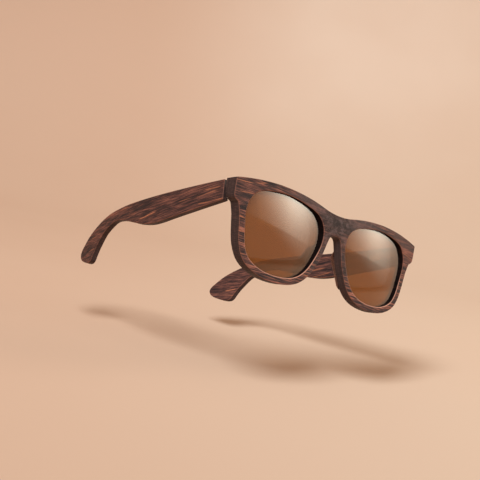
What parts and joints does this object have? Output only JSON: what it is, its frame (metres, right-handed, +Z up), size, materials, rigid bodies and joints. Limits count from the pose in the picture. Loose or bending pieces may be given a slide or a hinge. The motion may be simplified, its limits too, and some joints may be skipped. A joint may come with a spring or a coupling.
{
  "type": "sunglasses",
  "caption": "Wooden sunglasses with a bowed front board, tinted curved lenses held in grooves, splayed nose pads and dropped-end wooden temples that fold on sprung metal hinges.",
  "frame": {"origin": "middle of the footprint, on the surface that the rims and the temple ends stand on", "axes": "+X to the wearer's left, +Y from the front back along the temples, +Z up"},
  "size_m": [0.145, 0.1467, 0.0482],
  "materials": {
    "front_wood": "dark streaked hardwood with a satin oiled finish",
    "temple_wood": "dark streaked hardwood with a satin oiled finish, grain along the temple",
    "pad_wood": "dark hardwood, satin",
    "lens": "polished brown tinted optical resin",
    "hinge_steel": "satin stainless steel",
    "spring_steel": "drawn spring wire",
    "collar": "plain turned brass"
  },
  "bodies": {
    "front": {"front_frame": "front_wood", "lens_left": "lens", "lens_right": "lens", "nose_pad_left": "pad_wood", "nose_pad_right": "pad_wood", "front_leaf_left": "hinge_steel", "front_leaf_right": "hinge_steel", "leaf_screws_left": "hinge_steel", "leaf_screws_right": "hinge_steel", "pivot_screw_left": "hinge_steel", "pivot_screw_right": "hinge_steel"},
    "slider_body_left": {"slider_left": "hinge_steel", "stop_collar_left": "collar"},
    "slider_body_right": {"slider_right": "hinge_steel", "stop_collar_right": "collar"},
    "temple_body_left": {"temple_left": "temple_wood", "spring_case_left": "hinge_steel", "case_screws_left": "hinge_steel", "spring_left": "spring_steel"},
    "temple_body_right": {"temple_right": "temple_wood", "spring_case_right": "hinge_steel", "case_screws_right": "hinge_steel", "spring_right": "spring_steel"}
  },
  "joints": [
    {"name": "fold_left", "type": "hinge", "parent": "front", "child": "slider_body_left", "pos_m": [0.067, -0.06081, 0.03824], "axis": [0, 0.1392, 0.9903], "range_deg": [-10, 47]},
    {"name": "fold_right", "type": "hinge", "parent": "front", "child": "slider_body_right", "pos_m": [-0.067, -0.06081, 0.03824], "axis": [0, -0.1392, -0.9903], "range_deg": [-10, 83]},
    {"name": "spring_slide_left", "type": "slide", "parent": "slider_body_left", "child": "temple_body_left", "axis": [0, 0.9903, -0.1392], "range_m": [0, 0.0012], "stiffness_N_per_m": 700, "springref_m": -0.005, "deforming": ["spring_left"]},
    {"name": "spring_slide_right", "type": "slide", "parent": "slider_body_right", "child": "temple_body_right", "axis": [0, 0.9903, -0.1392], "range_m": [0, 0.0012], "stiffness_N_per_m": 700, "springref_m": -0.005, "deforming": ["spring_right"]}
  ]
}
